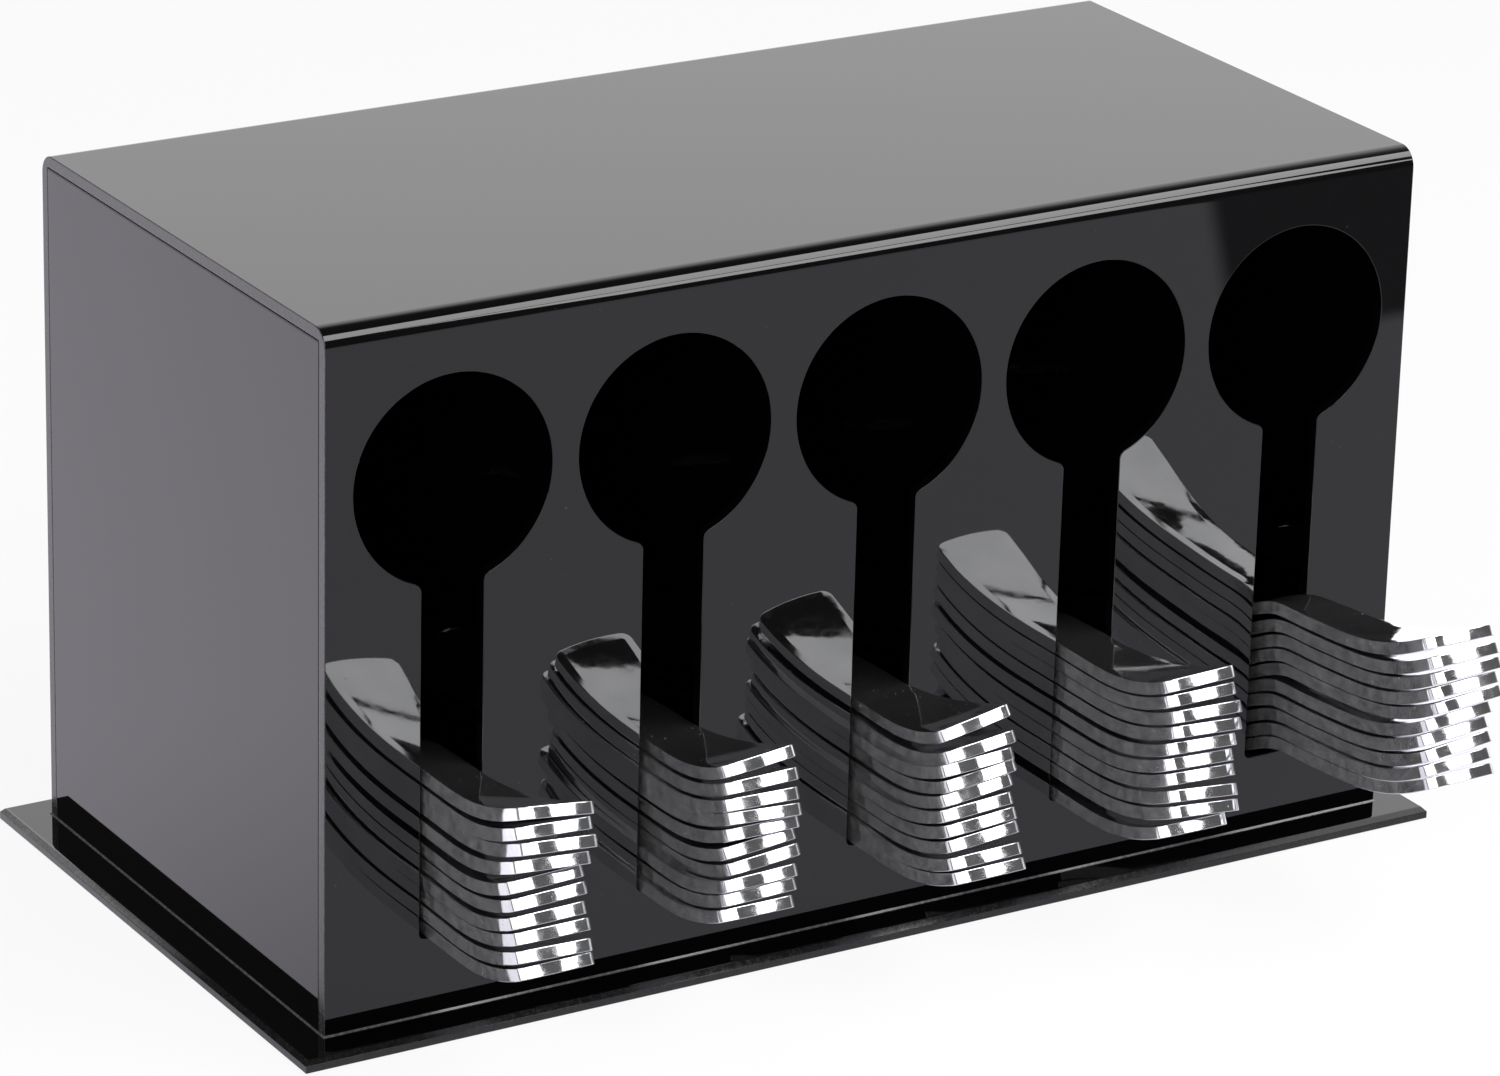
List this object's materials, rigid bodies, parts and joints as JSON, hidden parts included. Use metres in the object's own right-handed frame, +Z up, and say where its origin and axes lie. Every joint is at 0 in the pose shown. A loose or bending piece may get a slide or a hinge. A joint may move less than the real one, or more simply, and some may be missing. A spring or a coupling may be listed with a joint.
{
  "type": "cutlery dispenser",
  "caption": "Countertop cutlery dispenser in glossy black acrylic: keyhole front openings over stacks of silver-look spoons whose handles stand out through the slots.",
  "frame": {"origin": "centre of the base plate's underside", "axes": "+X along the width, -Y out of the front with the openings, +Z up"},
  "size_m": [0.3194, 0.2373, 0.1765],
  "materials": {
    "black_acrylic": "mirror-gloss cast acrylic sheet, polished edges",
    "silver_plastic": "metallised plastic with a chrome look"
  },
  "bodies": {
    "dispenser": {"base_plate": "black_acrylic", "housing_wrap": "black_acrylic", "side_panel_left": "black_acrylic", "side_panel_right": "black_acrylic", "lane_divider_1": "black_acrylic", "lane_divider_2": "black_acrylic", "lane_divider_3": "black_acrylic", "lane_divider_4": "black_acrylic", "spoon_1_1": "silver_plastic", "spoon_1_2": "silver_plastic", "spoon_1_3": "silver_plastic", "spoon_1_4": "silver_plastic", "spoon_1_5": "silver_plastic", "spoon_1_6": "silver_plastic", "spoon_1_7": "silver_plastic", "spoon_1_8": "silver_plastic", "spoon_1_9": "silver_plastic", "spoon_2_1": "silver_plastic", "spoon_2_2": "silver_plastic", "spoon_2_3": "silver_plastic", "spoon_2_4": "silver_plastic", "spoon_2_5": "silver_plastic", "spoon_2_6": "silver_plastic", "spoon_2_7": "silver_plastic", "spoon_2_8": "silver_plastic", "spoon_2_9": "silver_plastic", "spoon_3_1": "silver_plastic", "spoon_3_2": "silver_plastic", "spoon_3_3": "silver_plastic", "spoon_3_4": "silver_plastic", "spoon_3_5": "silver_plastic", "spoon_3_6": "silver_plastic", "spoon_3_7": "silver_plastic", "spoon_3_8": "silver_plastic", "spoon_3_9": "silver_plastic", "spoon_4_1": "silver_plastic", "spoon_4_2": "silver_plastic", "spoon_4_3": "silver_plastic", "spoon_4_4": "silver_plastic", "spoon_4_5": "silver_plastic", "spoon_4_6": "silver_plastic", "spoon_4_7": "silver_plastic", "spoon_4_8": "silver_plastic", "spoon_4_9": "silver_plastic", "spoon_5_1": "silver_plastic", "spoon_5_2": "silver_plastic", "spoon_5_3": "silver_plastic", "spoon_5_4": "silver_plastic", "spoon_5_5": "silver_plastic", "spoon_5_6": "silver_plastic", "spoon_5_7": "silver_plastic", "spoon_5_8": "silver_plastic", "spoon_5_9": "silver_plastic"},
    "top_spoon_1": {"spoon_1_10": "silver_plastic"},
    "top_spoon_2": {"spoon_2_10": "silver_plastic"},
    "top_spoon_3": {"spoon_3_10": "silver_plastic"},
    "top_spoon_4": {"spoon_4_10": "silver_plastic"},
    "top_spoon_5": {"spoon_5_10": "silver_plastic"}
  },
  "joints": [
    {"name": "lift_1", "type": "slide", "parent": "dispenser", "child": "top_spoon_1", "axis": [0, 0, 1], "range_m": [0, 0.092]},
    {"name": "lift_2", "type": "slide", "parent": "dispenser", "child": "top_spoon_2", "axis": [0, 0, 1], "range_m": [0, 0.093]},
    {"name": "lift_3", "type": "slide", "parent": "dispenser", "child": "top_spoon_3", "axis": [0, 0, 1], "range_m": [0, 0.094]},
    {"name": "lift_4", "type": "slide", "parent": "dispenser", "child": "top_spoon_4", "axis": [0, 0, 1], "range_m": [0, 0.091]},
    {"name": "lift_5", "type": "slide", "parent": "dispenser", "child": "top_spoon_5", "axis": [0, 0, 1], "range_m": [0, 0.093]}
  ]
}
